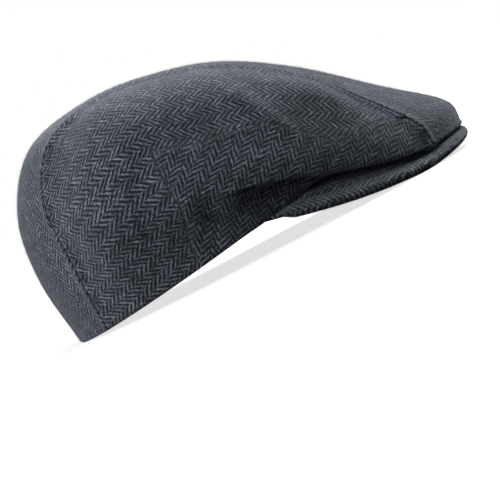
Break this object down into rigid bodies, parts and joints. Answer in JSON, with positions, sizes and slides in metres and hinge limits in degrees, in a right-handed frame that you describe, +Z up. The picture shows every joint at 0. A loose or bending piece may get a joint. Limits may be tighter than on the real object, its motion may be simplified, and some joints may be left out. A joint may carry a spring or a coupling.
{
  "type": "flat cap",
  "caption": "Flat wool cap with a sloping panelled crown sewn down over a stiff curved peak, lined, with a sweatband; worn on the head.",
  "frame": {"origin": "middle of the table under the cap, at the centre of its box's underside", "axes": "+Z up from the table; the peak points along -Y; the wearer's right side is at -X"},
  "size_m": [0.1982, 0.2762, 0.1294],
  "materials": {
    "wool_herringbone": "napped wool herringbone",
    "peak_wool": "napped wool herringbone",
    "canvas": "plain woven canvas",
    "lining_satin": "smooth satin",
    "peak_board": "matte",
    "sweatband_twill": "ribbed twill",
    "thread": "twisted thread"
  },
  "bodies": {
    "root": {"crown_centre_panel": "wool_herringbone", "crown_side_right": "wool_herringbone", "crown_side_left": "wool_herringbone", "front_gusset_right": "wool_herringbone", "front_gusset_left": "wool_herringbone", "peak_upper_cover": "peak_wool", "peak_under_cover": "peak_wool", "peak_board": "peak_board", "interlining_centre": "canvas", "interlining_right": "canvas", "interlining_left": "canvas", "lining_tip": "lining_satin", "lining_band_right": "lining_satin", "lining_band_left": "lining_satin", "rim_stay_tape": "canvas", "sweatband": "sweatband_twill", "front_tacks": "thread"}
  },
  "joints": []
}
